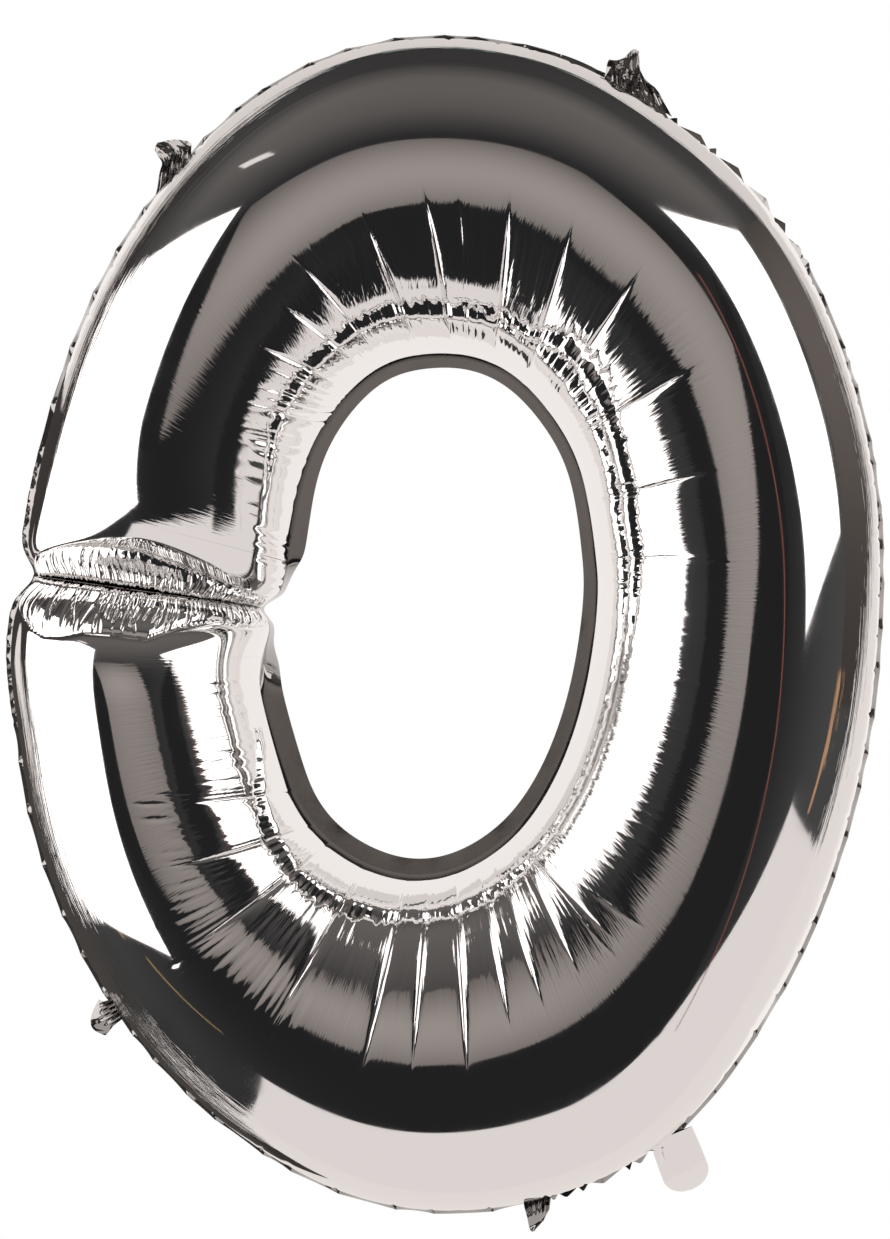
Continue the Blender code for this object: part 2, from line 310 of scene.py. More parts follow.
# %% Ribs of the letter
# Millimetres, counterclockwise from the right-hand side.
RIBS = (
    ((100.3, 17.1), (320.6, 17.1)),
    ((99.2, 53.4), (315.5, 113.0)),
    ((92.3, 98.5), (287.9, 213.4)),
    ((77.0, 135.5), (234.8, 307.9)),
    ((50.2, 167.6), (161.4, 373.3)),
    ((19.6, 183.6), (85.1, 414.8)),
    ((-10.9, 185.4), (0.0, 429.3)),
    ((-40.0, 177.8), (-82.2, 416.2)),
    ((-65.4, 156.7), (-159.2, 370.4)),
    ((-85.1, 126.1), (-223.2, 299.2)),
    ((-95.5, 92.1), (-269.7, 213.4)),
    ((-101.8, 52.9), (-299.5, 115.2)),
    ((-111.7, 8.4), (-313.1, 36.7)),
    ((-120.1, -24.9), (-320.3, -22.0)),
    ((-115.9, -57.8), (-314.3, -81.1)),
    ((-105.4, -94.9), (-301.7, -151.6)),
    ((-92.8, -126.9), (-268.2, -237.4)),
    ((-70.5, -152.0), (-207.2, -325.3)),
    ((-40.0, -167.6), (-117.0, -397.3)),
    ((-10.9, -170.5), (-22.8, -429.3)),
    ((16.7, -161.8), (72.7, -421.8)),
    ((43.6, -142.1), (160.0, -380.6)),
    ((64.7, -113.8), (226.8, -302.8)),
    ((80.7, -78.9), (275.5, -209.8)),
    ((93.3, -33.6), (309.1, -95.9)),
)
WELD_RIB = 12
FINE_STEPS = 4000


def through(points, at):
    """The closed smooth cubic curve through points, read at the numbers in at."""
    points = np.array(points, float)
    count = len(points)
    blend = 4 * np.eye(count) + np.roll(np.eye(count), 1, 1) + np.roll(np.eye(count), -1, 1)
    slopes = np.linalg.solve(blend, 3 * (np.roll(points, -1, 0) - np.roll(points, 1, 0)))
    at = np.asarray(at, float) % count
    first = np.floor(at).astype(int) % count
    last = (first + 1) % count
    t = (at - np.floor(at))[..., None]
    return (
        (2 * t**3 - 3 * t**2 + 1) * points[first]
        + (t**3 - 2 * t**2 + t) * slopes[first]
        + (3 * t**2 - 2 * t**3) * points[last]
        + (t**3 - t**2) * slopes[last]
    )


AT = np.linspace(0, len(RIBS), FINE_STEPS + 1)
HOLE_LINE = through([rib[0] for rib in RIBS], AT) * MM
OUTER_LINE = through([rib[1] for rib in RIBS], AT) * MM
RUN = np.linalg.norm(np.diff((HOLE_LINE + OUTER_LINE) / 2, axis=0), axis=1)
ALONG = np.concatenate([[0], np.cumsum(RUN)])
FROM_WELD = ALONG - np.interp(WELD_RIB, AT, ALONG)
ROUND = ALONG[-1]
print("the stroke is", round(ROUND, 3), "m long round its middle line")

# %% Edges and rims at any place along the stroke
def from_weld(along):
    """How far a place lies from the weld: positive below it, negative above it."""
    return (along + ROUND / 2) % ROUND - ROUND / 2


def read(table, along):
    """What a table of millimetres along the stroke and values gives at some places."""
    return np.interp(along / MM % (ROUND / MM), *zip(*table))


OUTER_FLANGE = 6.0 * MM
HOLE_FLANGE = 9.6 * MM
HOLE_FLANGE_SWING = 2.8 * MM
NOTCH_DEPTH = (12 * MM, 13 * MM)
NOTCH_REACH = (11 * MM, 12 * MM)


def edges(along):
    """The hole's edge, the outer edge and the way across, at distances from the weld."""
    wrapped = (along - FROM_WELD[0]) % ROUND + FROM_WELD[0]
    at = np.interp(wrapped, FROM_WELD, AT)
    hole = through([rib[0] for rib in RIBS], at) * MM
    outer = through([rib[1] for rib in RIBS], at) * MM
    across = outer - hole
    across /= np.linalg.norm(across, axis=-1)[..., None]
    near_weld = np.abs(from_weld(along))
    hole_notch = NOTCH_DEPTH[0] * np.exp(-((near_weld / NOTCH_REACH[0]) ** 2))
    outer_notch = NOTCH_DEPTH[1] * np.exp(-((near_weld / NOTCH_REACH[1]) ** 2))
    hole = hole + hole_notch[..., None] * across
    outer = outer - outer_notch[..., None] * across
    return hole, outer, across


def hole_flange(across):
    """How wide the hole's free edge is: a little wider at the lower left."""
    return HOLE_FLANGE - HOLE_FLANGE_SWING * (across @ np.array([1.0, 1.0])) / math.sqrt(2)


print("the hole's free edge is up to", round((HOLE_FLANGE + HOLE_FLANGE_SWING) / MM, 1), "mm wide")

# %% [markdown]
# ## The swollen form
#
# Across the stroke the tube is nearly round. The angle round it is 0 at the rim by the hole,
# 90 degrees at the crest and 180 at the outer rim. Near the cross weld the tube closes in a
# blunt end, a lobe, on each side of the weld, and above the weld it also grows thinner on its
# way there. Right beside the weld the two lobes press against each other, so that the valley
# between them is nearly closed. On the hole's side a low shoulder makes the tube a little
# fuller than round, which moves the reflections there to where the photograph has them.

# %% The smooth foil
HALF_DEPTH = 105 * MM
CREST_SHIFT = 0.07
FILM = 0.25 * MM
LOBE_LENGTH = (82 * MM, 112 * MM)
LOBE_ROUNDNESS = 2.6
VALLEY_FLOOR = 1.0 * MM
VALLEY_WALL = 0.55
VALLEY_WALL_RISE = 0.8 * MM
VALLEY_WALL_REACH = 10 * MM
TAPER = 0.36
TAPER_LENGTH = 300 * MM
BLUNT_POWER = 0.35
SHOULDER_ANGLE = 38.0
SHOULDER_REACH = (12.0, 15.0)
SHOULDER_RISE = 3 * MM


def lobe(along):
    """How full the tube is, from 0 at the weld to 1 far from it."""
    signed = from_weld(along)
    away = np.maximum(np.abs(signed) - VALLEY_FLOOR, 0)
    length = np.where(signed < 0, LOBE_LENGTH[1], LOBE_LENGTH[0])
    blunt = 1 - (1 - np.minimum(away / length, 1)) ** LOBE_ROUNDNESS
    blunt = blunt ** (1 / LOBE_ROUNDNESS)
    pressed = 1 - np.exp(-away / VALLEY_WALL_RISE)
    pressed *= VALLEY_WALL * np.exp(-((away / VALLEY_WALL_REACH) ** 2))
    full = blunt + (1 - blunt) * pressed
    thin = np.where(signed < 0, TAPER * np.clip(1 + signed / TAPER_LENGTH, 0, 1) ** 2, 0)
    return full * (1 - thin)


def smooth_foil(along, angle, side):
    """Points of the smooth envelope. along and angle are grids of the same shape."""
    hole, outer, across = edges(along)
    near = hole + hole_flange(across)[..., None] * across
    far = outer - OUTER_FLANGE * across
    full = lobe(along)
    flat = BLUNT_POWER + (1 - BLUNT_POWER) * np.minimum(1, 3 * full)
    part = (1 - np.cos(angle)) / 2 + CREST_SHIFT * np.sin(angle) ** 2
    place = near + (far - near) * part[..., None]
    rise = FILM + (HALF_DEPTH - FILM) * full * np.maximum(np.sin(angle), 0) ** flat
    off = np.degrees(angle) - SHOULDER_ANGLE
    reach = np.where(off < 0, *SHOULDER_REACH)
    shoulder = np.exp(-((off / reach) ** 2)) * np.minimum(1, np.degrees(angle) / 10)
    rise = rise + SHOULDER_RISE * full * shoulder
    return np.stack([place[..., 0], side * rise, place[..., 1]], axis=-1)


def outward(points, side):
    """Unit normals of a grid of points, rows round the tube and columns along it."""
    round_tube = np.gradient(points, axis=0)
    along_tube = np.gradient(points, axis=1)
    normal = np.cross(round_tube, along_tube) * -side
    return normal / np.maximum(np.linalg.norm(normal, axis=-1), 1e-12)[..., None]


crest = smooth_foil(np.full((1, 1), 0.4), np.full((1, 1), math.pi / 2), -1)[0, 0]
print("the crest of the lower stroke stands", round(-crest[1], 4), "m proud")

# %% [markdown]
# ## From a grid to a closed skin
#
# Blender's grid operator gives a flat net of quads. Each vertex is then moved to where the
# formula says. The rows run along the outside of a wall and back along its inside, so the
# first and last row meet and the net closes round the wall like a sleeve. Two more numbers
# travel with every vertex: its place on the film, which the materials read, and, beside a
# join between two pieces, the way its surface faces, so that the join doesn't show.

# %% Folding a grid
SHARP_FOLD = math.radians(65)


def aim_normals(mesh):
    """Where a vertex is told how to face, it does; elsewhere Blender's own normals stay."""
    found = np.zeros(len(mesh.vertices) * 3, np.float32)
    mesh.attributes["aim"].data.foreach_get("vector", found)
    corners = np.zeros(len(mesh.loops) * 3, np.float32)
    mesh.corner_normals.foreach_get("vector", corners)
    vertex = np.zeros(len(mesh.loops), np.int32)
    mesh.loops.foreach_get("vertex_index", vertex)
    wanted = found.reshape(-1, 3)[vertex]
    corners = corners.reshape(-1, 3)
    told = (wanted * corners).sum(axis=1) > 0.5
    corners[told] = wanted[told]
    mesh.normals_split_custom_set(corners.tolist())


def folded(name, points, places=None, aims=None, closed_along=False):
    """A closed skin from rows of points whose first and last rows are joined."""
    rows, columns = points.shape[:2]
    across, around = rows + 1, columns + (1 if closed_along else 0)
    bm = bmesh.new()
    bmesh.ops.create_grid(bm, x_segments=across - 1, y_segments=around - 1, size=1)
    mark = bm.verts.layers.float_vector.new("place")
    aim = bm.verts.layers.float_vector.new("aim")
    for vert in bm.verts:
        row = round((vert.co.x + 1) / 2 * (across - 1)) % rows
        column = round((vert.co.y + 1) / 2 * (around - 1)) % columns
        vert.co = Vector(points[row, column])
        if places is not None:
            vert[mark] = Vector(places[row, column])
        if aims is not None:
            vert[aim] = Vector(aims[row, column])
    bmesh.ops.remove_doubles(bm, verts=bm.verts, dist=1e-7)
    open_ends = [edge for edge in bm.edges if edge.is_boundary]
    if open_ends:
        bmesh.ops.holes_fill(bm, edges=open_ends, sides=0)
    bmesh.ops.recalc_face_normals(bm, faces=bm.faces)
    if bm.calc_volume(signed=True) < 0:
        bmesh.ops.reverse_faces(bm, faces=bm.faces)
    thing = placed(bm, name)
    thing.data.shade_smooth()
    thing.data.set_sharp_from_angle(angle=SHARP_FOLD)
    if aims is not None:
        aim_normals(thing.data)
    return thing


print("film folded by more than", round(math.degrees(SHARP_FOLD)), "degrees keeps a sharp edge")

# %% Hanging a piece on the letter
def finish_piece(piece, slot, finish, *nodes):
    """Hangs a piece on the letter, in place of its solids, with its finish."""
    piece.data.materials.append(finish)
    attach(piece, "root")
    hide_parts(*nodes)
    print(piece.name, "has", len(piece.data.polygons), "faces")

# %% [markdown]
# ## Silver film
#
# The film is nylon, a few hundredths of a millimetre thick, with a coat of aluminium so thin
# and even that it is a true mirror. The eye gets nearly all of the light back, in its own
# colour. Handling leaves it finely scuffed, so the roughness is small but not zero, and it
# varies. Two ripples too low for the net come from bump: streaks round the tube beside the
# hole, and long folds that lie along the outer limbs.

# %% Metallised nylon film
FILM_SILVER = "F2F1F0"
# Real scuffs are finer than a pixel, so these are drawn as coarse as they need to show.
SCUFF_SIZE = 35 * MM
# Size along the stroke and round the tube, sign of the mark, detail, roughness and height.
RIPPLES = (
    (1.6 * MM, 30 * MM, 1.0, 2.0, 0.5, 0.10 * MM),
    (70 * MM, 4.5 * MM, -1.0, 3.0, 0.6, 1.6 * MM),
)


def film_material():
    """Metallised nylon film: a bright neutral mirror with faint streaks and scuffs."""
    made, tree = new_material("metallised_nylon_film")
    spot = add(tree, "Attribute", attribute_name="place").outputs["Vector"]
    marked = add(tree, "SeparateXYZ", {0: spot}).outputs["Z"]
    ripple = {"Strength": 1.0}
    for along, across, sign, detail, grain, height in RIPPLES:
        stretch = {0: spot, 1: (1 / along, 1 / across, 0)}
        where = add(tree, "VectorMath", stretch, operation="MULTIPLY")
        look = {"Vector": where, "Scale": 1.0, "Detail": detail, "Roughness": grain}
        noise = add(tree, "TexNoise", look)
        mark = add(tree, "MapRange", {0: marked, 1: 0.0, 2: sign, 3: 0.0, 4: 1.0})
        ripple["Height"] = add(tree, "Math", {0: noise, 1: mark}, operation="MULTIPLY")
        ripple["Distance"] = height
        ripple["Normal"] = add(tree, "Bump", ripple)
    body = add(tree, "TexCoord")
    look = {"Vector": body.outputs["Object"], "Scale": 1 / SCUFF_SIZE, "Detail": 6.0, "Roughness": 0.65}
    scuffs = add(tree, "TexNoise", look)
    rough = add(tree, "MapRange", {0: scuffs, 1: 0.35, 2: 0.75, 3: 0.035, 4: 0.09})
    look = {"Base Color": (*linear(FILM_SILVER), 1), "Metallic": 1.0, "Normal": ripple["Normal"]}
    shader = add(tree, "BsdfPrincipled", {"Roughness": rough, **look})
    add(tree, "OutputMaterial", {0: shader})
    return made


silver_film = film_material()
print("the film has", len(RIPPLES), "ripples")

# %% [markdown]
# ## Creases
#
# The film on the hole's side of the tube is too long for its place, so it folds into creases.
# Each one starts as a point near the crest and deepens towards the hole. The list says where
# each starts and ends: millimetres along the stroke, degrees round the tube, and how deep it is.
# The net's columns are drawn along the creases, and closer together beside them, so that even a
# fold 2 mm wide stays crisp.

# %% The creases of the front
# Millimetres and degrees where each starts, the same where it ends, and its depth.
CREASES = (
    (150, 72, 188, 13, 0.8),
    (196, 84, 226, 23, 1.0),
    (246, 101, 262, 25, 1.3),
    (318, 97, 324, 26, 1.3),
    (382, 97, 388, 29, 1.2),
    (416, 88, 418, 32, 1.2),
    (452, 92, 456, 31, 1.3),
    (486, 79, 490, 33, 1.0),
    (514, 77, 516, 33, 1.0),
    (548, 73, 548, 35, 0.9),
    (578, 71, 572, 37, 0.8),
    (610, 78, 596, 61, 0.4),
    (888, 68, 902, 28, 0.7),
    (950, 75, 966, 29, 0.9),
    (1024, 81, 1036, 42, 1.1),
    (1102, 85, 1098, 32, 1.2),
    (1160, 83, 1142, 28, 1.2),
    (1212, 83, 1184, 28, 1.3),
    (1244, 77, 1238, 60, 0.5),
    (1272, 82, 1242, 30, 1.3),
    (1316, 76, 1288, 30, 1.2),
    (1372, 77, 1342, 31, 1.0),
    (1400, 69, 1368, 32, 0.9),
    (1438, 67, 1400, 31, 0.9),
    (1482, 61, 1444, 29, 0.8),
    (1516, 57, 1480, 27, 0.7),
    (1544, 54, 1512, 27, 0.7),
)
print("the hole's side has", len(CREASES), "creases")

# %% How the creases drift
LIP_REACH = 46 * MM
DRIFT_ARC = 60.0
DRIFT_BLUR = 14 * MM
DRIFT_STILL = 1.6 * LIP_REACH
DRIFT_SPAN = 20
FINE_STEP = 2 * MM
FINE = np.arange(0, ROUND, FINE_STEP)


def lean(angle):
    """How far a column has drifted at an angle round the tube: 0 at the crest."""
    turned = (90 - np.degrees(angle)) / DRIFT_ARC
    return np.where(turned > 0, turned, turned / (1 + turned**2))


def measured_drift():
    """How far the creases drift along the stroke in each 60 degrees, all the way round."""
    places, drifts = [0.0, DRIFT_STILL], [0.0, 0.0]
    for outer_along, outer_angle, inner_along, inner_angle, _ in CREASES:
        drift = (inner_along - outer_along) / (outer_angle - inner_angle) * DRIFT_ARC * MM
        places.append((inner_along + outer_along) / 2 * MM)
        drifts.append(drift)
    places.append(ROUND - DRIFT_STILL)
    drifts.append(0.0)
    raw = np.interp(FINE, places, drifts, period=ROUND)
    reach = np.arange(-DRIFT_SPAN, DRIFT_SPAN + 1) * FINE_STEP
    weights = np.exp(-((reach / DRIFT_BLUR) ** 2) / 2)
    padded = np.concatenate([raw[-DRIFT_SPAN:], raw, raw[:DRIFT_SPAN]])
    return np.convolve(padded, weights / weights.sum(), "valid")


DRIFT = measured_drift()


def drifted(column, angle):
    """The distance along the stroke that a column has at an angle round the tube."""
    return column + np.interp(column, FINE, DRIFT, period=ROUND) * lean(angle)


def column_of(along, angle):
    """The column that passes through a place."""
    column = along
    for _ in range(20):
        column = along - np.interp(column, FINE, DRIFT, period=ROUND) * lean(angle)
    return float(column)


CREASE_COLUMNS = []
for outer_along, outer_angle, inner_along, inner_angle, _ in CREASES:
    middle = math.radians((outer_angle + inner_angle) / 2)
    CREASE_COLUMNS.append(column_of((outer_along + inner_along) / 2 * MM, middle))
print("they drift up to", round(float(np.abs(DRIFT).max()), 3), "m along the stroke")

# %% Columns, closer beside the creases
COLUMN_STEP = 1.2 * MM
CROWDING = 0.5


def columns():
    """Places of the net's columns along the stroke, from lip to lip."""
    marks = [LIP_REACH, *sorted(CREASE_COLUMNS), ROUND - LIP_REACH]
    places = []
    for start, end in zip(marks, marks[1:]):
        count = max(4, round((end - start) / COLUMN_STEP))
        t = np.arange(count) / count
        t -= CROWDING * np.sin(2 * math.pi * t) / (2 * math.pi)
        places.append(start + (end - start) * t)
    places.append([ROUND - LIP_REACH])
    return np.concatenate(places)


COLUMNS = columns()
print("the net has", len(COLUMNS), "columns")

# %% How deep the creases press
def smoothstep(low, high, value):
    """0 below low, 1 above high, and a soft rise between them."""
    t = np.clip((value - low) / (high - low), 0, 1)
    return t * t * (3 - 2 * t)


def between(first, full, last, end, value):
    """0 below first, 1 from full to last, 0 above end, and soft in between."""
    return smoothstep(first, full, value) * (1 - smoothstep(last, end, value))


CREASE_DEPTH = 1.1 * MM
CREASE_WIDTH = 1.3 * MM
SCALLOP_DEPTH = 1.0 * MM
SCALLOP_WIDTH = 8 * MM


def crease_press(column, angle):
    """How far the creases press the foil in."""
    pressed = np.zeros_like(column)
    degrees = np.degrees(angle)
    for (_, start, _, end, strength), centre in zip(CREASES, CREASE_COLUMNS):
        away = from_weld(column - centre)
        run = (start - degrees) / (start - end)
        deep = between(0, 0.4, 0.85, 1.15, run)
        wide = between(-0.05, 0.9, 0.9, 1.5, run)
        sharp = np.exp(-np.abs(away) / (CREASE_WIDTH * (0.4 + 0.8 * deep)))
        broad = np.exp(-((np.abs(away) / SCALLOP_WIDTH) ** 1.3))
        pressed += strength * (CREASE_DEPTH * deep * sharp + SCALLOP_DEPTH * wide * broad)
    return pressed


deepest = max(crease[-1] for crease in CREASES) * (CREASE_DEPTH + SCALLOP_DEPTH)
print("the deepest crease presses the film in by", round(deepest / MM, 1), "mm")

# %% [markdown]
# ## Fine wrinkles
#
# Between the creases the film still carries hundreds of wrinkles a few millimetres apart.
# Where the mirrored room changes from grey to black they turn the border into a comb. Each
# wrinkle is a small valley of its own: a place, a width, a depth, and a stretch round the tube.
# Where the gathered film begins, two low shelves run round the hole. They face another part
# of the room than the foil beside them, so each shows as a dark or bright ribbon.
# Along the outer rim the film is gathered too: every 20 mm or so the weld is pinched, and a
# short crease runs in from there.

# %% Pinches of the outer weld
PINCH_STEP = 20 * MM
PINCH_CLOSE = 0.2
FIRST_PINCH = 0.012
SERRATED = 85 * MM
SERRATED_STEP = 0.3
# Millimetres along the stroke where the photograph shows a pinch.
PINCHES = (1138, 1112, 1086, 1064, 1052, 1032, 980, 936, 902, 864, 840, 541, 531, 507, 491)


def pinch_places():
    """Where the outer weld is pinched: seen in the photograph, or about evenly spaced."""
    chance = np.random.default_rng(5)
    places = [place * MM for place in PINCHES]
    place = FIRST_PINCH
    while place < ROUND - FIRST_PINCH:
        if min(abs(place - known) for known in places) > PINCH_CLOSE * PINCH_STEP:
            places.append(place)
        near_weld = min(place, ROUND - place) < SERRATED
        place += (SERRATED_STEP if near_weld else 1.0) * PINCH_STEP * chance.uniform(0.7, 1.5)
    return np.array(sorted(places))


PINCH_PLACES = pinch_places()
print("the outer weld is pinched at", len(PINCH_PLACES), "places")

# %% Wrinkles at random places
def valleys(column, angle, places, depths, widths, starts, ends, fade):
    """Small valleys along the columns, each from a start to an end angle."""
    pressed = np.zeros_like(column)
    degrees = np.degrees(angle[:, 0])
    line = column[0]
    for place, deep, half, start, end in zip(places, depths, widths, starts, ends):
        away = np.abs(from_weld(line - place)) / half
        near = np.flatnonzero(away < 1)
        length = smoothstep(0, fade, start - degrees) * smoothstep(0, fade, degrees - end)
        pressed[:, near] += deep * length[:, None] * (1 - away[near]) ** 2
    return pressed


def wrinkle_press(column, angle, seed, pitch, depth, width, start, end, fade):
    """Valleys at random places. start and end are angles with their spread."""
    chance = np.random.default_rng(seed)
    count = int(ROUND / pitch)
    places = (np.arange(count) + chance.uniform(-0.4, 0.4, count)) * pitch
    depths = depth * chance.uniform(0.2, 1.0, count) ** 1.5
    widths = width * chance.uniform(0.7, 1.5, count)
    starts = chance.normal(*start, count)
    ends = chance.normal(*end, count)
    return valleys(column, angle, places, depths, widths, starts, ends, fade)


# Pitch, depth, width, start and end in degrees with their spread, and how softly they end.
COMB_WRINKLES = (4.2 * MM, 0.3 * MM, 2.3 * MM, (66, 7), (30, 6), 10)
HOLE_WRINKLES = (5.2 * MM, 0.5 * MM, 2.9 * MM, (42, 6), (22, 4), 7)
RIM_WRINKLES = (9 * MM, 0.6 * MM, 5.0 * MM, (200, 5), (160, 7), 14)
print("the comb's wrinkles lie", round(COMB_WRINKLES[0] / MM, 1), "mm apart")

# %% Longer wrinkles where the photograph shows them
# From and to, pitch, depth, width, where they start, and how many degrees they run.
COMB_RUNS = (
    (1480, 1628, 6.4, 1.8, 3.3, ((1480, 60), (1520, 56), (1560, 48), (1590, 38), (1622, 24)), 40),
    (1010, 1250, 6.4, 0.22, 2.2, ((1010, 80), (1250, 78)), 26),
    (204, 335, 5.4, 0.5, 2.7, ((200, 88), (225, 95), (335, 92)), 30),
    (128, 204, 5.0, 0.55, 2.6, ((128, 74), (150, 80), (204, 82)), 18),
    (60, 128, 6.5, 0.5, 2.8, ((60, 44), (128, 46)), 20),
)
COMB_FADE = 8


def comb_press(column, angle, seed):
    """Longer wrinkles at the places where the photograph shows them."""
    chance = np.random.default_rng(seed)
    pressed = np.zeros_like(column)
    for first, last, pitch, depth, width, starts, length in COMB_RUNS:
        count = int((last - first) / pitch)
        places = first + (np.arange(count) + chance.uniform(0.1, 0.9, count)) * pitch
        start = np.interp(places, *zip(*starts)) + chance.normal(0, 4, count)
        depths = depth * MM * chance.uniform(0.3, 1.0, count)
        widths = width * MM * chance.uniform(0.7, 1.2, count)
        end = start - length * chance.uniform(0.8, 1.3, count)
        pressed += valleys(column, angle, places * MM, depths, widths, start, end, COMB_FADE)
    return pressed


print("longer wrinkles are in", len(COMB_RUNS), "places")

# %% Shelves round the hole
TUBE_RADIUS = 100 * MM
# Millimetres along the stroke, then start and width in degrees of the two shelves.
RING_FOLDS = (
    (70, 19, 0.0, 44, 0.0), (115, 24, 3.0, 44, 0.0), (150, 31, 5.0, 44, 0.0), (200, 34, 6.5, 44, 0.0),
    (250, 37, 5.5, 44, 0.0), (300, 36, 6.0, 44, 0.0), (350, 33, 5.5, 38, 0.0), (390, 31, 3.0, 36, 0.0),
    (490, 29.5, 3.2, 36, 0.0), (540, 29, 1.8, 36, 0.0), (600, 29, 0.9, 35, 0.0),
    (770, 29, 1.0, 35, 0.0), (820, 29, 2.0, 35, 1.4), (860, 28, 3.6, 35, 3.2), (935, 28, 3.8, 36, 4.0),
    (1000, 30, 3.2, 38, 4.5), (1070, 30.5, 5.5, 41, 6.0), (1125, 32, 6.0, 42, 6.0),
    (1175, 32.5, 2.0, 36, 3.8), (1220, 33, 3.0, 36, 3.4), (1290, 33, 6.0, 42, 0.0),
    (1345, 36, 5.0, 42, 0.0), (1515, 39, 5.0, 42, 0.0), (1570, 34, 0.0, 42, 0.0),
)
# Millimetres along the stroke and the angle at which the shelves face there.
RING_FACING = ((100, 68), (350, 68), (400, 62), (540, 72), (1130, 72), (1180, 67), (1570, 67))
RING_RETURN = 0.3
RING_STEP = 3.5
RING_WANDER = 0.35
RING_UNEVEN = (0.7, 1.2)


def ring_press(column, angle, seed):
    """Two shelves that run round the hole where the gathered film begins."""
    chance = np.random.default_rng(seed)
    around = column / MM % (ROUND / MM)
    degrees = np.degrees(angle)
    rings = np.array(RING_FOLDS, float)
    pressed = np.zeros_like(column)
    steps = np.arange(0, ROUND / MM, RING_STEP)
    for turn, wide in ((1, 2), (3, 4)):
        wander = np.interp(around, steps, chance.normal(0, RING_WANDER, len(steps)))
        width = np.interp(around, rings[:, 0], rings[:, wide], 0, 0)
        width = width * np.interp(around, steps, chance.uniform(*RING_UNEVEN, len(steps)))
        start = np.interp(around, rings[:, 0], rings[:, turn]) + wander
        run = (degrees - start) / np.maximum(width, 0.1)
        shelf = np.clip(np.minimum(run, (1 + RING_RETURN - run) / RING_RETURN), 0, 1)
        slope = np.tan(np.radians(read(RING_FACING, column) - start - width / 2))
        pressed += slope * np.radians(width) * TUBE_RADIUS * shelf
    return pressed


print("a shelf turns the film by up to", max(row[2] for row in RING_FOLDS), "degrees of the tube")

# %% The whole relief
# Depth, width, start and end of a pinch's crease, and how softly it ends.
PINCH_CREASE = (1.2 * MM, 1.8 * MM, 200, 148, 16)
WRINKLE_START = (60 * MM, 110 * MM)
# Millimetres along the stroke and how strong the wrinkles beside the hole are there.
CALM_RUN = ((540, 1.0), (590, 0.3), (800, 0.3), (850, 1.0))
# Millimetres, degrees, length, width and depth.
LIMB_DENTS = (
    (240, 131, 13, 4.5, 1.3),
    (252, 136, 8, 4.0, 1.0),
    (279, 125, 10, 4.5, 1.3),
    (294, 129, 12, 5.0, 1.4),
)


def pressed_in(column, angle, seed):
    """The whole relief of a sheet, in metres inwards."""
    pressed = crease_press(column, angle)
    pressed += wrinkle_press(column, angle, seed, *COMB_WRINKLES)
    pressed += read(CALM_RUN, column) * wrinkle_press(column, angle, seed + 1, *HOLE_WRINKLES)
    pressed += ring_press(column, angle, seed + 3)
    pressed += wrinkle_press(column, angle, seed + 2, *RIM_WRINKLES)
    deep, wide, start, end, fade = ([value] * len(PINCH_PLACES) for value in PINCH_CREASE)
    pressed += valleys(column, angle, PINCH_PLACES, deep, wide, start, end, fade[0])
    pressed *= smoothstep(*WRINKLE_START, np.abs(from_weld(column)))
    for place, turn, long, wide, deep in LIMB_DENTS:
        off = ((column / MM - place) / long) ** 2 + ((np.degrees(angle) - turn) / wide) ** 2
        pressed += deep * MM * np.exp(-off)
    return pressed + comb_press(column, angle, seed)


print("the relief is whole from", round(WRINKLE_START[1] / MM), "mm beside the cross weld")

# %% The two faces of a wall
INNER_ROWS = 9
INNER_GAP = 4 * MM


def skin(side, alongs, angles, pressed, streaky):
    """The rows of a foil wall: a fine outer face, then a coarse inner one, back again."""
    smooth = smooth_foil(alongs, angles, side)
    outside = smooth - outward(smooth, side) * pressed[..., None]
    places = np.stack([alongs, angles * TUBE_RADIUS, streaky], axis=-1)
    inner_angle = np.linspace(0, math.pi, INNER_ROWS)
    angles_in, alongs_in = np.meshgrid(inner_angle, alongs[len(alongs) // 2], indexing="ij")
    inside = smooth_foil(alongs_in, angles_in, side)
    depth = np.minimum(INNER_GAP, 0.5 * np.abs(inside[..., 1]))
    inside = inside - outward(inside, side) * depth[..., None]
    inside[..., 1] = side * np.maximum(side * inside[..., 1], FILM)
    inside = inside[-2:0:-1]
    blank = np.zeros_like(inside)
    return np.concatenate([outside, inside]), np.concatenate([places, blank])


def end_aims(side, alongs, angles, shape):
    """The way the smooth foil faces at the first and last column; zero leaves it to Blender."""
    aims = np.zeros(shape)
    for column in (0, -1):
        step = np.array([-0.5, 0.0, 0.5]) * MM
        line = alongs[:, column][:, None] + step
        smooth = smooth_foil(line, np.repeat(angles[:, :1], 3, axis=1), side)
        aims[1 : len(angles) - 1, column] = outward(smooth, side)[1:-1, 1]
    return aims


print("the inner face lies", round(INNER_GAP / MM, 1), "mm behind the outer one")

# %% Foil sheets
SKIN_ROWS = 68
# Share of the rows and the degrees round the tube that they have reached.
ROW_PLACES = ((0, 0), (0.08, 24), (0.43, 48), (0.81, 130), (1, 180))
# Degrees at which the two ripples of the film begin, are full, begin to fade and end.
STREAKS_AT = (20, 40, 70, 100)
LIMB_FOLDS_AT = (122, 134, 150, 164)
# Millimetres along the stroke and how strong the outer limb's folds are there.
LIMB_FOLDS = (
    (0, 0.0), (60, 0.1), (150, 0.5), (200, 0.8), (310, 0.8), (350, 0.0), (600, 0.0), (700, 0.35),
    (960, 0.35), (1060, 0.1), (1300, 0.1), (1360, 0.3), (1500, 0.3), (1600, 0.0),
)


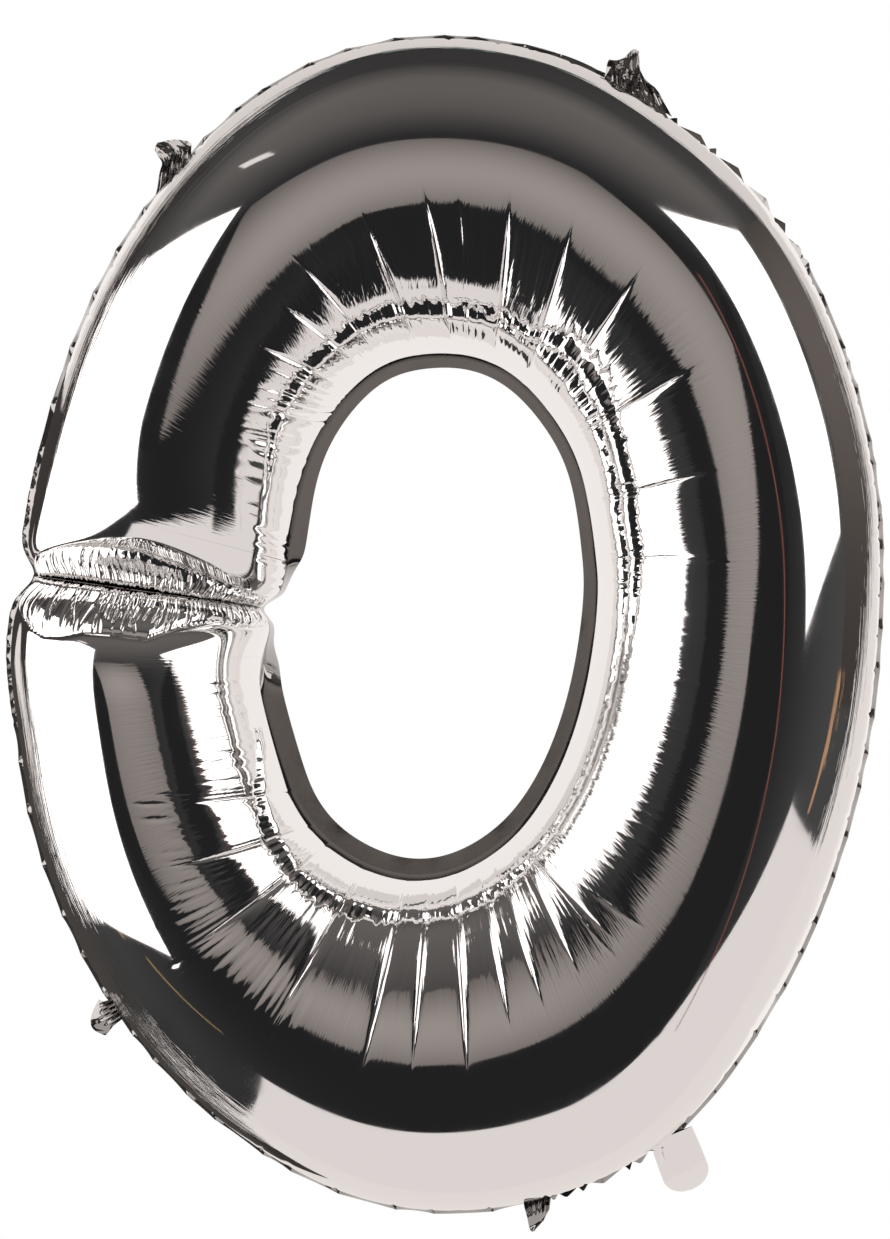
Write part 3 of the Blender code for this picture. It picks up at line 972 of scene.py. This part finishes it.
def foil_sheet(name, side, seed):
    """Half of the envelope, from lip to lip the long way round."""
    angle = np.radians(np.interp(np.linspace(0, 1, SKIN_ROWS + 1), *zip(*ROW_PLACES)))
    angles, column = np.meshgrid(angle, COLUMNS, indexing="ij")
    alongs = drifted(column, angles)
    pressed = pressed_in(column, angles, seed)
    degrees = np.degrees(angles)
    streaky = between(*STREAKS_AT, degrees)
    streaky -= read(LIMB_FOLDS, alongs) * between(*LIMB_FOLDS_AT, degrees)
    points, places = skin(side, alongs, angles, pressed, streaky)
    aims = end_aims(side, alongs, angles, points.shape)
    return folded(name, points, places, aims)


front_foil = foil_sheet("front_foil", -1, 11)
finish_piece(front_foil, "silver_foil", silver_film, "front_sheet")
back_foil = foil_sheet("back_foil", 1, 29)
finish_piece(back_foil, "silver_foil", silver_film, "back_sheet")

# %% [markdown]
# ## The lips beside the cross weld
#
# The cross weld pulls both sheets down to one line, and the spare film beside it gathers into
# pleats about 3 mm apart. Each lobe so ends in a pleated roll, a lip, with a sharp groove
# behind it where the smooth foil begins. The two lips press against each other, here more and
# there less, so that only a thin wavering line is left between them. The pleats run across the
# weld, so this patch needs a net that is fine round the tube and not along it.

# %% Pleats of the lips
# How wide the upper and the lower lip are, in millimetres, at degrees round the tube.
LIP_WIDTHS = {
    -1: ((0, 8), (30, 10), (50, 14), (69, 21), (86, 26), (102, 24), (120, 20), (148, 13), (180, 9)),
    1: ((0, 15), (31, 17), (48, 15), (63, 22), (74, 32), (90, 30), (102, 30), (112, 33), (124, 34),
        (136, 30), (150, 24), (180, 16)),
}
ROLL_HEIGHT = 2.4 * MM
GROOVE_DEPTH = 2.2 * MM
GROOVE_WIDTH = 0.09
PLEAT_PITCH = 1.75
PLEAT_DEPTH = 1.5 * MM
PLEAT_LEAN = 0.12
PLEATS_FROM, PLEATS_TO = 2.0, 178.0


def lip_press(along, angle, seed):
    """How far the lips' relief presses the foil in; a roll stands out, so it is negative."""
    chance = np.random.default_rng(seed)
    degrees = np.degrees(angle)
    pressed = np.zeros_like(along)
    for half, widths in LIP_WIDTHS.items():
        mine = along[0] * half > 0
        away = np.abs(along[:, mine])
        turn = degrees[:, mine]
        width = np.interp(turn, *zip(*widths)) * MM
        run = away / width
        relief = -ROLL_HEIGHT * np.sin(math.pi * np.clip(run, 0, 1)) ** 0.6
        relief += GROOVE_DEPTH * np.exp(-np.abs(run - 1) / GROOVE_WIDTH)
        place = PLEATS_FROM
        while place < PLEATS_TO:
            place += PLEAT_PITCH * chance.uniform(0.6, 1.45)
            size = PLEAT_PITCH * chance.uniform(0.4, 0.75)
            deep = PLEAT_DEPTH * chance.uniform(0.3, 1.2)
            lean_over = PLEAT_LEAN * chance.normal(0.6, 1.0)
            stop = chance.uniform(0.75, 1.12)
            shift = (turn - place - lean_over * away / MM) / size
            valley = np.maximum(1 - np.abs(shift), 0) ** 1.3
            fade = between(-0.1, 0.08, stop - 0.2, stop, run)
            relief += deep * valley * fade
        pressed[:, mine] = relief
    fade = 1 - smoothstep(0.75, 1.0, np.abs(along) / LIP_REACH)
    return pressed * fade * np.minimum(1, np.sin(angle) * 4)


print("a lip has about", round((PLEATS_TO - PLEATS_FROM) / PLEAT_PITCH), "pleats")

# %% Lips
LIP_ROWS = 560
LIP_COLUMNS = 92
LIP_PRESS = 1.7 * MM
LIP_PRESS_REACH = 5 * MM
LIP_PRESS_SPOTS = 60


def lips(name, side, seed, sheet_seed):
    """The patch of foil beside the cross weld."""
    angle = np.linspace(0, math.pi, LIP_ROWS + 1)
    spread = np.linspace(-1, 1, LIP_COLUMNS)
    along = np.sign(spread) * np.abs(spread) ** 1.25 * LIP_REACH
    angles, alongs = np.meshgrid(angle, along, indexing="ij")
    pressed = lip_press(alongs, angles, seed) + pressed_in(alongs, angles, sheet_seed)
    points, places = skin(side, alongs, angles, pressed, 0 * angles)
    weld_hole, _, across = edges(np.array([0.0]))
    onward = np.array([-across[0, 1], 0, across[0, 0]])
    start = np.array([weld_hole[0, 0], 0, weld_hole[0, 1]])
    beside = (points - start) @ onward
    chance = np.random.default_rng(seed + 40)
    spots = np.linspace(0, math.pi, LIP_PRESS_SPOTS)
    uneven = np.interp(angle, spots, chance.uniform(0.3, 1.2, LIP_PRESS_SPOTS))
    closer = np.zeros_like(beside)
    closer[: len(angle)] = LIP_PRESS * uneven[:, None] * np.exp(-np.abs(along) / LIP_PRESS_REACH)
    wanted = np.sign(along) * np.maximum(np.sign(along) * beside - closer, 0.2 * MM)
    points = points + (wanted - beside)[..., None] * onward * (np.abs(along) > 0.3 * MM)[:, None]
    aims = end_aims(side, alongs, angles, points.shape)
    return folded(name, points, places, aims)


front_lips = lips("front_lips", -1, 3, 11)
finish_piece(front_lips, "silver_foil", silver_film, "front_sheet")
back_lips = lips("back_lips", 1, 4, 29)
finish_piece(back_lips, "silver_foil", silver_film, "back_sheet")

# %% [markdown]
# ## Welded film
#
# Outside the rim the two films are melted together into one free edge a few millimetres wide.
# The heat leaves the metal coat a little dull and grey. The edge can't shorten as the tube
# swells, so it is pinched here and there. Between two pinches it bends away in a leaf, and
# where it stays flat the leaf is pointed, as at the upper right. Beside the cross weld the
# edge of the hole is turned back and hides behind the tube.

# %% Dull film of the welds
WELDED_SILVER = "AAA8A6"
# The size of the grain that the welding bar leaves.
WELD_GRAIN = 3.333 * MM


def welded_material():
    """Two nylon films melted into one: a duller and rougher mirror than the free film."""
    made, tree = new_material("welded_nylon_film")
    body = add(tree, "TexCoord")
    look = {"Vector": body.outputs["Object"], "Scale": 1 / WELD_GRAIN, "Detail": 3.0}
    grain = add(tree, "TexNoise", look)
    rough = add(tree, "MapRange", {0: grain, 1: 0.3, 2: 0.7, 3: 0.08, 4: 0.16})
    bumps = add(tree, "Bump", {"Height": grain, "Strength": 1.0, "Distance": 0.02 * MM})
    look = {"Base Color": (*linear(WELDED_SILVER), 1), "Metallic": 1.0, "Normal": bumps}
    shader = add(tree, "BsdfPrincipled", {"Roughness": rough, **look})
    add(tree, "OutputMaterial", {0: shader})
    return made


welded_film = welded_material()


def two_faced(name, place, depth, thickness, closed_along=False):
    """A closed sheet of film, half its thickness to each side of a net of places and depths."""
    middle = np.stack([place[..., 0], depth, place[..., 1]], -1)
    off = np.array([0, thickness / 2, 0])
    return folded(name, np.concatenate([middle - off, (middle + off)[::-1]]), None, None, closed_along)


print("the welded film is", WELDED_SILVER)

# %% The outer edge
EDGE_STEP = 1.0 * MM
EDGE_ROWS = 9
WELDED_THICK = 0.3 * MM
SEAM_LAP = 2.5 * MM
PINCH_NARROW = 0.22
# Millimetres along the stroke and the leaves' bend in degrees there.
LEAF_BENDS = (
    (0, 57), (60, 57), (100, 70), (470, 66), (490, 8), (545, 8), (560, 60), (860, 70), (1020, 66),
    (1040, 3), (1150, 2), (1180, 40), (1240, 60), (1360, 70), (1550, 70), (1580, 57), (1645, 57),
)
LEAF_SPREAD = 4
LEAF_STEEPEST = 72
LEAF_ROUNDNESS = 0.7
LEAF_PEAK = 0.35
# Millimetres along the stroke and how pointed the leaves are there.
LEAF_POINTS = (
    (0, 0), (480, 0), (492, 0.8), (540, 0.8), (550, 0), (1035, 0), (1045, 0.85), (1145, 0.7), (1160, 0),
)


def outer_edge():
    """The free edge round the outside: pinched at places, bent back in leaves between them."""
    chance = np.random.default_rng(8)
    along = np.arange(round(ROUND / EDGE_STEP)) * ROUND / round(ROUND / EDGE_STEP)
    marks = np.concatenate([PINCH_PLACES[-1:] - ROUND, PINCH_PLACES, PINCH_PLACES[:1] + ROUND])
    leaf = np.searchsorted(marks, along, "right") - 1
    run = (along - marks[leaf]) / (marks[leaf + 1] - marks[leaf])
    bulge = np.sin(math.pi * run) ** LEAF_ROUNDNESS
    peak = np.minimum(run / LEAF_PEAK, (1 - run) / (1 - LEAF_PEAK))
    bends = read(LEAF_BENDS, marks) + chance.normal(0, LEAF_SPREAD, len(marks))
    bend = np.radians(np.clip(bends, 0, LEAF_STEEPEST))[leaf]
    _, outer, across = edges(along)
    rim = outer - OUTER_FLANGE * across
    out = np.linspace(-SEAM_LAP / OUTER_FLANGE, 1, EDGE_ROWS)[:, None]
    free = np.maximum(out, 0)
    pointed = read(LEAF_POINTS, along)
    narrow = 1 - PINCH_NARROW * (1 - bulge) * (1 - pointed) - pointed * (1 - peak)
    reach = OUTER_FLANGE * np.where(out > 0, out * narrow, out)
    back = OUTER_FLANGE * np.tan(bend) * bulge * free
    place = rim + reach[..., None] * across
    return two_faced("outer_edge", place, back, WELDED_THICK, True)


finish_piece(outer_edge(), "seam_foil", welded_film, "outer_seam")

# %% The edge of the hole
HOLE_TILT = 0.04
HOLE_TURN = 1.9
HOLE_TURN_REACH = (62 * MM, 40 * MM)
HOLE_WAVES = ((0.1 * MM, 23 * MM, 0), (0.06 * MM, 9 * MM, 1))
HOLE_HIDDEN = 0.8
HOLE_HIDDEN_REACH = 45 * MM


def hole_edge():
    """The free edge round the hole: nearly flat, but turned back and hidden beside the weld."""
    along = np.arange(round(ROUND / EDGE_STEP)) * ROUND / round(ROUND / EDGE_STEP)
    hole, _, across = edges(along)
    width = hole_flange(across)
    out = np.linspace(-SEAM_LAP / HOLE_FLANGE, 1, EDGE_ROWS)[:, None]
    near_weld = np.abs(from_weld(along))
    hidden = HOLE_HIDDEN * np.exp(-((near_weld / HOLE_HIDDEN_REACH) ** 4)) * np.maximum(out, 0)
    place = hole + ((1 - out + hidden) * width)[..., None] * across
    wave = sum(high * np.sin(along / long + shift) for high, long, shift in HOLE_WAVES)
    reach = np.where(along < ROUND / 2, *HOLE_TURN_REACH)
    turned = HOLE_TURN * np.exp(-((near_weld / reach) ** 6))
    back = wave * np.maximum(out, 0) ** 2 - HOLE_TILT * across[:, 1] * width * out
    back = back + turned * width * np.maximum(out, 0)
    return two_faced("hole_edge", place, back, WELDED_THICK, True)


finish_piece(hole_edge(), "seam_foil", welded_film, "hole_seam")

# %% The strip of the cross weld
WELD_STRIP = 3 * MM
STRIP_SHORT = 10 * MM
weld_hole, weld_outer, weld_across = edges(np.zeros(9))
reach = np.linalg.norm(weld_outer[0] - weld_hole[0]) - STRIP_SHORT
reach = np.linspace(SEAM_LAP + HOLE_FLANGE, reach, 9)
line = weld_hole + reach[:, None] * weld_across
beside = np.stack([-weld_across[:, 1], weld_across[:, 0]], -1)
strip = line + np.linspace(-1, 1, 5)[:, None, None] * WELD_STRIP * beside
strip = two_faced("weld_strip", strip, np.zeros(strip.shape[:2]), WELDED_THICK)
finish_piece(strip, "seam_foil", welded_film, "cross_weld")

# %% [markdown]
# ## Tabs
#
# A flat tab is cut out of the welded edge where the letter is to be hung or tied. In use it
# crumples: flat facets between sharp folds, each mirroring another part of the room. A sum of
# a few triangle waves that run in different directions makes such facets.

# %% Outlines of the tabs
# Two edges from root to tip, how far the tip bows out, how far it puffs, how crumpled it is.
TAB_EDGES = {
    "tab_top_left": (
        ((-210.4, 316.5), (-205.4, 334.8), (-211.0, 344.0), (-209.0, 350.2)),
        ((-184.6, 345.0), (-184.4, 347.0), (-184.4, 349.0), (-187.0, 350.8)),
        1.0, 0.0, 1.0,
    ),
    "tab_top_right": (
        ((165.0, 373.1), (152.0, 390.0), (142.0, 399.0), (140.8, 415.7)),
        ((115.7, 402.6), (119.0, 409.5), (130.4, 411.1), (136.0, 417.5)),
        1.0, 0.0, 1.0,
    ),
    "tab_bottom_left": (
        ((-246.5, -275.5), (-249.0, -274.5), (-251.0, -273.8), (-251.9, -273.4)),
        ((-239.0, -290.0), (-242.0, -293.5), (-244.5, -297.0), (-247.0, -299.5)),
        9.0, 5.0, 0.3,
    ),
    "tab_bottom": (
        ((56.0, -418.7), (58.2, -426.1), (59.6, -431.0), (61.5, -440.5)),
        ((77.0, -417.0), (76.0, -426.1), (72.0, -434.0), (66.5, -439.8)),
        2.0, 2.0, 0.6,
    ),
}
print("the letter has", len(TAB_EDGES), "tabs")

# %% Crumpled tabs
TAB_NET = (30, 34)
FACETS = 4
FACET_SIZE = (9, 20)
FACET_HEIGHT = (1.0, 2.4)
TAB_TUCK = 5 * MM
PLEAT_STEP = 3.4 * MM
PLEAT_HEIGHT = 1.1 * MM


def zigzag(value):
    """A triangle wave between -1 and 1 with period 1."""
    return 4 * np.abs(value - np.floor(value + 0.5)) - 1


def crumpled_tab(name, seed):
    """A crumpled piece of welded film between two edges that run from its root to its tip."""
    chance = np.random.default_rng(seed)
    first, last, bulge, puff, crumple = TAB_EDGES[name]
    u = np.linspace(0, 1, TAB_NET[0])[None, :]
    v = np.linspace(0, 1, TAB_NET[1])[:, None]
    at = np.linspace(0, 1, len(first))
    sides = []
    for side in (first, last):
        x, z = np.array(side).T * MM
        sides.append(np.stack([np.interp(v, at, x), np.interp(v, at, z)], -1))
    place = sides[0] * (1 - u)[..., None] + sides[1] * u[..., None]
    out = place[-1, TAB_NET[0] // 2] - place[0, TAB_NET[0] // 2]
    out /= np.linalg.norm(out)
    place = place - TAB_TUCK * (1 - smoothstep(0, 0.25, v))[..., None] * out
    place = place + out * (bulge * MM * v * np.sin(math.pi * u))[..., None]
    depth = -puff * MM * np.sin(math.pi * u) * np.sin(math.pi * (0.2 + 0.6 * v))
    for _ in range(FACETS):
        turn = chance.uniform(0, math.pi)
        size = chance.uniform(*FACET_SIZE) * MM
        across = place @ np.array([math.cos(turn), math.sin(turn)]) / size
        height = crumple * chance.uniform(*FACET_HEIGHT) * MM
        depth = depth + height * zigzag(across + chance.random())
    depth = depth * smoothstep(-0.1, 0.4, v)
    base = np.linalg.norm(place[0, -1] - place[0, 0])
    depth = depth + PLEAT_HEIGHT * zigzag(u * base / PLEAT_STEP) * (1 - smoothstep(0.2, 0.7, v))
    return two_faced(name + "_film", place, depth, WELDED_THICK)


for seed, name in enumerate(TAB_EDGES):
    finish_piece(crumpled_tab(name, seed + 20), "seam_foil", welded_film, name)

# %% [markdown]
# ## The filling tail
#
# Air goes in through a tail at the lower right: two plies of film with a strip of clear valve
# film between them. Once the letter is full the tail hangs limp. It bends back under the tube,
# so it mirrors the pale floor and nearly disappears against the paper.

# %% Tail
TAIL_ROOT = (166, -376)
TAIL_END = (177, -404)
TAIL_HALF = 17.5
TAIL_FLARE = 0.95
TAIL_SLOPE = 0.85
TAIL_CURL = 0.004
TAIL_TUCK = 0.12
TAIL_FOLDS = 6
FOLD_DEPTH = 1.6
FOLD_WIDTH = 0.06
TAIL_NET = (33, 41)
VALVE_HALF = 11.0
VALVE_REACH = 3.0
PLY_THICK = 0.25 * MM


def tail(name, half, reach, level, puff, seed):
    """A ply of the tail: from the rim out and round its end, bent back as it goes."""
    chance = np.random.default_rng(seed)
    root, end = np.array(TAIL_ROOT), np.array(TAIL_END)
    length = np.linalg.norm(end - root) + reach
    onward = (end - root) / np.linalg.norm(end - root)
    beside = np.array([onward[1], -onward[0]])
    u = np.linspace(-1, 1, TAIL_NET[0])[None, :]
    v = np.linspace(-TAIL_TUCK, 1, TAIL_NET[1])[:, None]
    over = np.clip(v * (length + half) - length, 0, half) / half
    wide = half * np.sqrt(np.maximum(1 - over**2, 0)) * (1 + (TAIL_FLARE - 1) * (1 - v) ** 3)
    away = v * (length + half)
    place = root + away[..., None] * onward + (u * wide)[..., None] * beside
    depth = TAIL_SLOPE * away + TAIL_CURL * np.maximum(away, 0) ** 2 + level
    depth = depth + puff * (1 - u**2) * np.sqrt(np.maximum(1 - np.clip(v, 0, 1) ** 4, 0))
    for _ in range(TAIL_FOLDS):
        turn, bow = chance.normal(0, 0.5), chance.normal(0, 0.4)
        fold = np.abs(u - turn - bow * v)
        depth = depth + FOLD_DEPTH * np.exp(-fold / FOLD_WIDTH) * between(-0.1, 0.1, 0.2, 0.7, v)
    return two_faced(name, place * MM, depth * MM, PLY_THICK)


TAIL_PLIES = (
    ("tail_front_ply", -0.5, -1.6, "neck_front_ply"),
    ("tail_back_ply", 0.5, 1.6, "neck_back_ply"),
)
for name, level, puff, node in TAIL_PLIES:
    finish_piece(tail(name, TAIL_HALF, 0, level, puff, 6), "silver_foil", silver_film, node)

# %% Valve film
VALVE_CLEAR = "F2F0EE"


def valve_material():
    """Clear polyethylene film: glossy, colourless, and milky because it is creased."""
    made, tree = new_material("clear_polyethylene_film")
    look = {"Base Color": (*linear(VALVE_CLEAR), 1), "Roughness": 0.2, "Transmission Weight": 0.6}
    shader = add(tree, "BsdfPrincipled", look)
    add(tree, "OutputMaterial", {0: shader})
    return made


valve = tail("valve_strip", VALVE_HALF, VALVE_REACH, 0.0, 0.0, 7)
finish_piece(valve, "valve_plastic", valve_material(), "valve_film")
